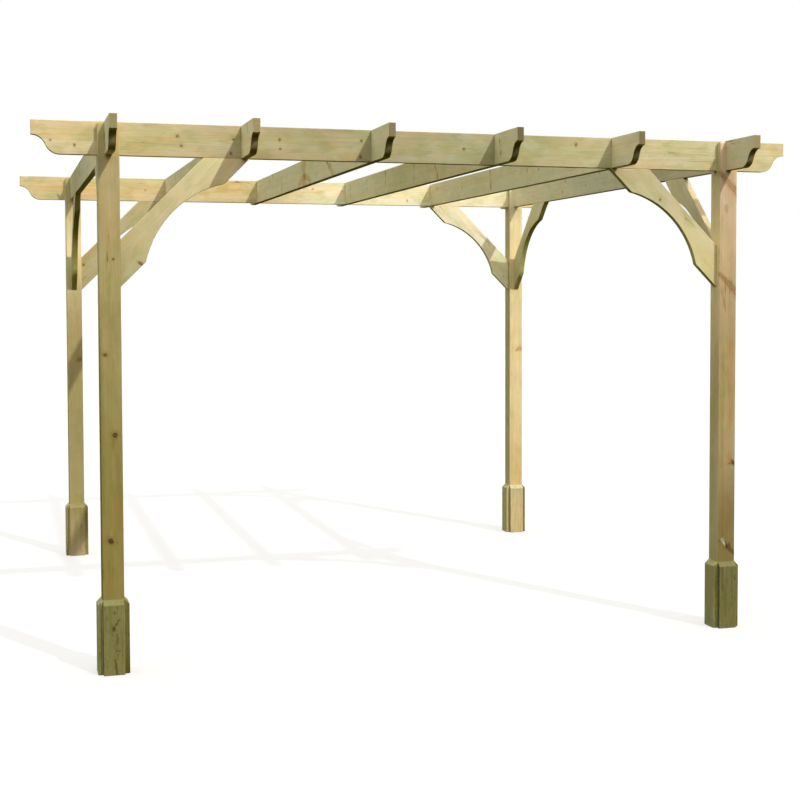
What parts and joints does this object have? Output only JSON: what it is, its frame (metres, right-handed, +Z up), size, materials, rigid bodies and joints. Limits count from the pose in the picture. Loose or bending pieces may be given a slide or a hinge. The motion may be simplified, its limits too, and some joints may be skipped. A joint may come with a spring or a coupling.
{
  "type": "timber pergola",
  "caption": "Free-standing square garden pergola: slotted posts with boarded feet, ogee-ended beams and rafters halved flush, and curved corner braces.",
  "frame": {"origin": "on the ground, midway between the four posts", "axes": "+X along the beams to the right, +Y along the rafters to the back, +Z up"},
  "size_m": [3.6, 3.6, 2.39],
  "materials": {
    "post_timber": "planed pressure-treated softwood, weathering from cream to olive",
    "rail_timber": "planed pressure-treated softwood, pale yellow-green with brown knots",
    "brace_timber": "planed pressure-treated softwood with a sawn arc",
    "foot_timber": "rougher pressure-treated softwood, greener and darker"
  },
  "bodies": {
    "root": {"post_front_left": "post_timber", "post_front_right": "post_timber", "post_back_left": "post_timber", "post_back_right": "post_timber", "foot_front_left_front": "foot_timber", "foot_front_left_back": "foot_timber", "foot_front_left_left": "foot_timber", "foot_front_left_right": "foot_timber", "foot_front_right_front": "foot_timber", "foot_front_right_back": "foot_timber", "foot_front_right_left": "foot_timber", "foot_front_right_right": "foot_timber", "foot_back_left_front": "foot_timber", "foot_back_left_back": "foot_timber", "foot_back_left_left": "foot_timber", "foot_back_left_right": "foot_timber", "foot_back_right_front": "foot_timber", "foot_back_right_back": "foot_timber", "foot_back_right_left": "foot_timber", "foot_back_right_right": "foot_timber", "beam_front": "rail_timber", "beam_back": "rail_timber", "rafter_1": "rail_timber", "rafter_2": "rail_timber", "rafter_3": "rail_timber", "rafter_4": "rail_timber", "rafter_5": "rail_timber", "rafter_6": "rail_timber", "brace_front_left_beam": "brace_timber", "brace_front_left_rafter": "brace_timber", "brace_front_right_beam": "brace_timber", "brace_front_right_rafter": "brace_timber", "brace_back_left_beam": "brace_timber", "brace_back_left_rafter": "brace_timber", "brace_back_right_beam": "brace_timber", "brace_back_right_rafter": "brace_timber"}
  },
  "joints": []
}
